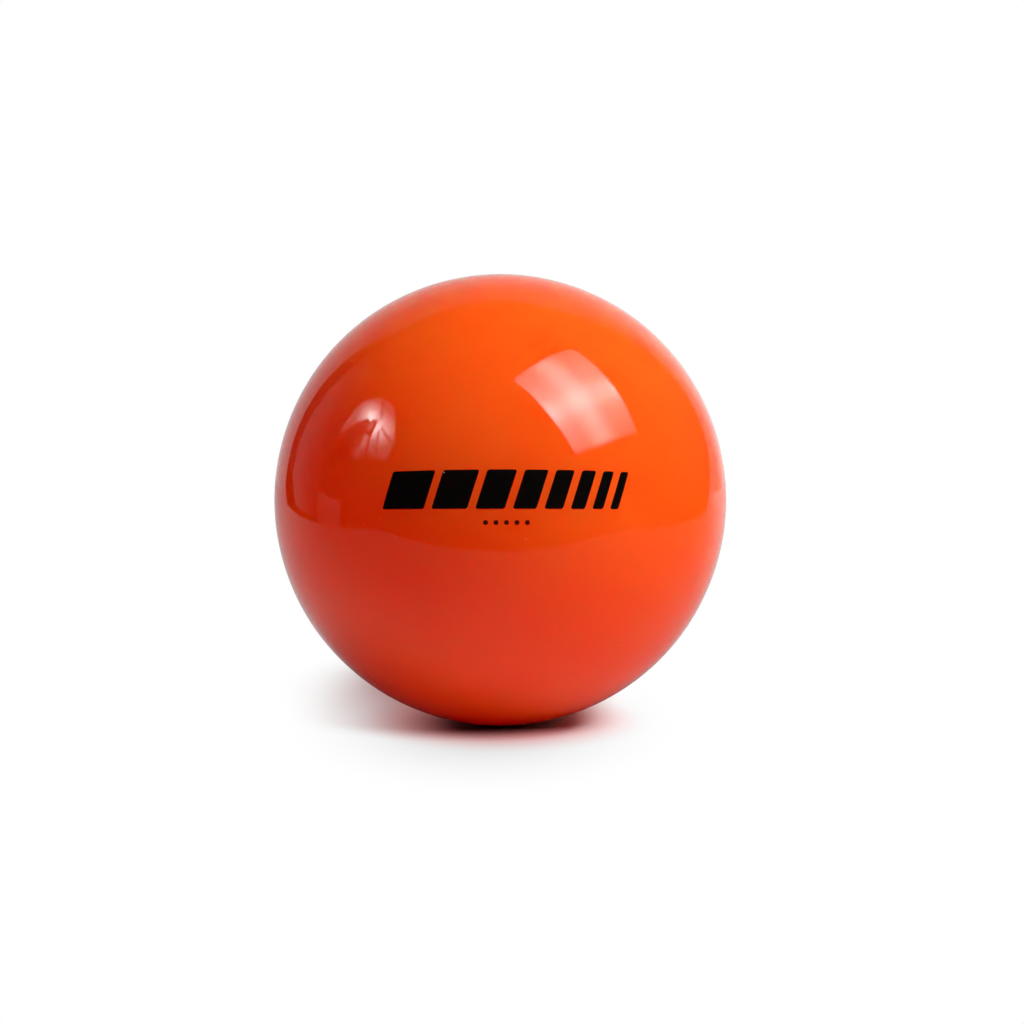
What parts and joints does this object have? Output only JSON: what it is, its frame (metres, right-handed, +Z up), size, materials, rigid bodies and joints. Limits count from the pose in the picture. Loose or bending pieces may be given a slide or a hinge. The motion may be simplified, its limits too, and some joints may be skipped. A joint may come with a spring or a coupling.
{
  "type": "field hockey ball",
  "caption": "Smooth, hard, glossy orange ball for field hockey, moulded as one solid piece.",
  "frame": {"origin": "the ball's centre", "axes": "+Z up; -Y is the side that faces the camera in the picture and carries the printed mark"},
  "size_m": [0.073, 0.073, 0.073],
  "materials": {
    "gloss_orange_skin": "polished orange plastic under a clear gloss"
  },
  "bodies": {
    "root": {"ball": "gloss_orange_skin"}
  },
  "joints": []
}
